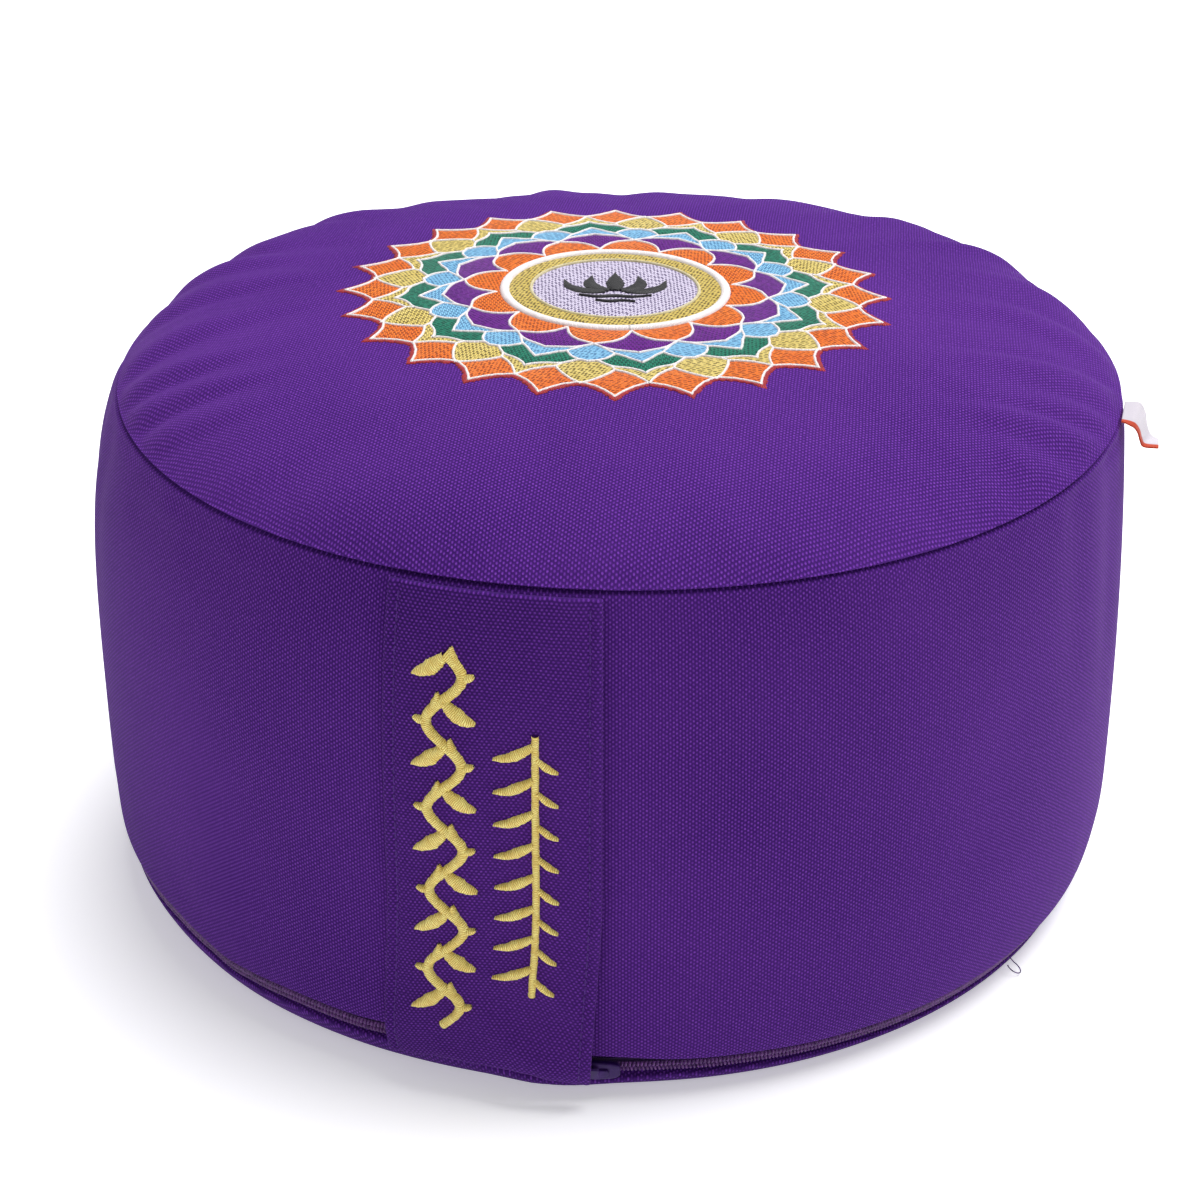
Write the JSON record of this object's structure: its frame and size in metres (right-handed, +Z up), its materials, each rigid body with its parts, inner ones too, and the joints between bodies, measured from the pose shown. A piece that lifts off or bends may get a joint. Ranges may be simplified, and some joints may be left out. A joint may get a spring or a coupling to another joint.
{
  "type": "zafu meditation cushion",
  "caption": "Round drum-shaped zafu meditation cushion in purple canvas, with a crowned top, a handle strap on its side, a zip in its base seam and a side label.",
  "frame": {"origin": "middle of the flat underside, on the surface that the cushion rests on", "axes": "+Z up through the crown of the top panel, the handle strap at the front towards -Y, the side label at the right towards +X"},
  "size_m": [0.3365, 0.3346, 0.1866],
  "materials": {
    "purple_canvas": "matte plain-woven cotton canvas",
    "purple_strap_canvas": "matte plain-woven cotton canvas, folded and topstitched",
    "purple_zip_tape": "matte woven polyester tape",
    "purple_coil": "satin nylon coil",
    "purple_enamel": "satin enamelled die-cast metal",
    "white_ribbon": "smooth woven satin ribbon"
  },
  "bodies": {
    "root": {"cushion": "purple_canvas", "handle_strap": "purple_strap_canvas", "zip_tape": "purple_zip_tape", "zip_coil": "purple_coil", "zip_slider": "purple_enamel", "zip_pull": "purple_enamel", "label": "white_ribbon"}
  },
  "joints": []
}
